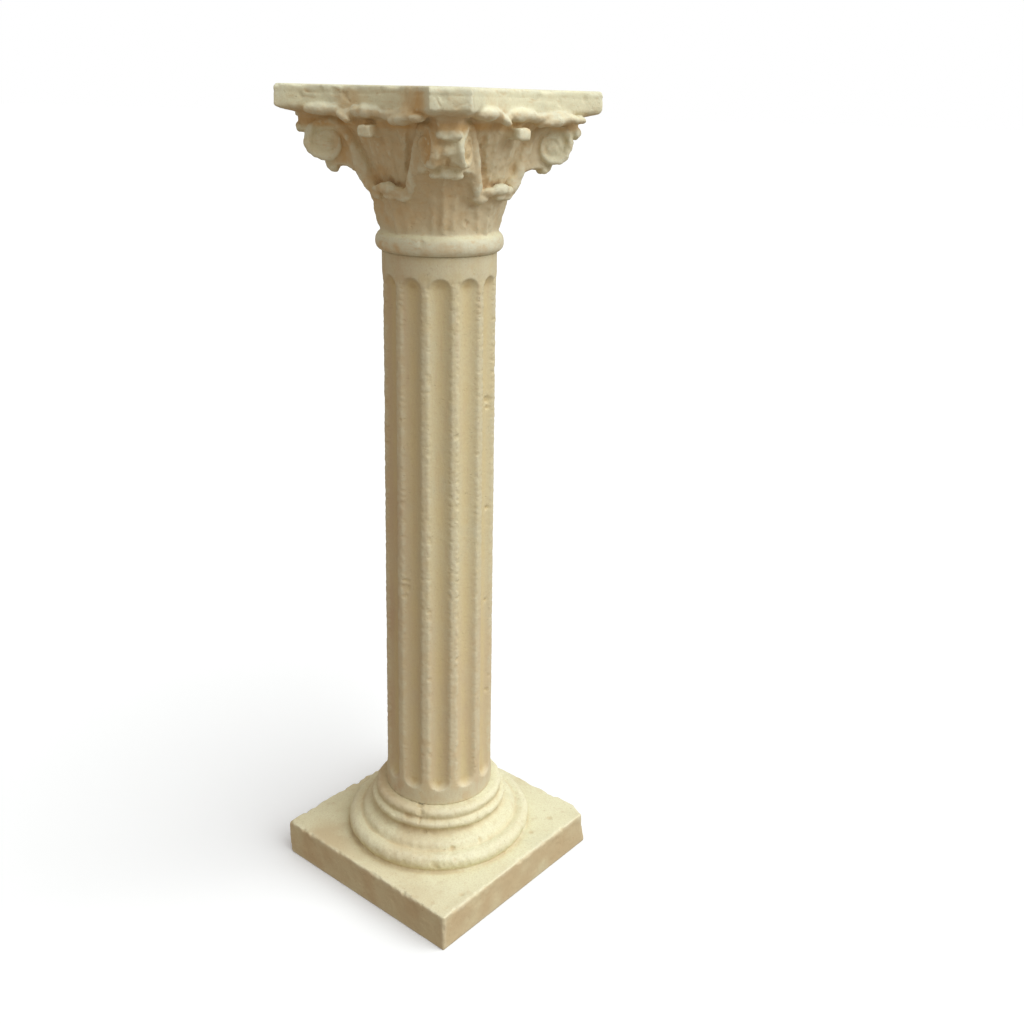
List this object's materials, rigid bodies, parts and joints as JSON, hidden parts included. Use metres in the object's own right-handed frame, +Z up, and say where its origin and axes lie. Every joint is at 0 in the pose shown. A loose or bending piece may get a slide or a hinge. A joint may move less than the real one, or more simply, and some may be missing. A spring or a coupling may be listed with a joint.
{
  "type": "pedestal column",
  "caption": "Pedestal column about a metre tall: square plinth, moulded round base, tapering fluted shaft, acanthus capital with corner volutes and a horned abacus.",
  "frame": {"origin": "middle of the plinth's underside", "axes": "+Z up along the shaft; X and Y square to the plinth's sides, with the broken plinth corner towards +X and +Y"},
  "size_m": [0.293, 0.293, 0.9998],
  "materials": {
    "base_plaster": "matt aged plaster, pale on top, nicked edges",
    "shaft_plaster": "matt aged plaster, ochre in the flutes",
    "capital_plaster": "matt aged plaster, brown in the hollows, pale on the ridges"
  },
  "bodies": {
    "root": {"plinth_and_base": "base_plaster", "fluted_shaft": "shaft_plaster", "capital": "capital_plaster"}
  },
  "joints": []
}
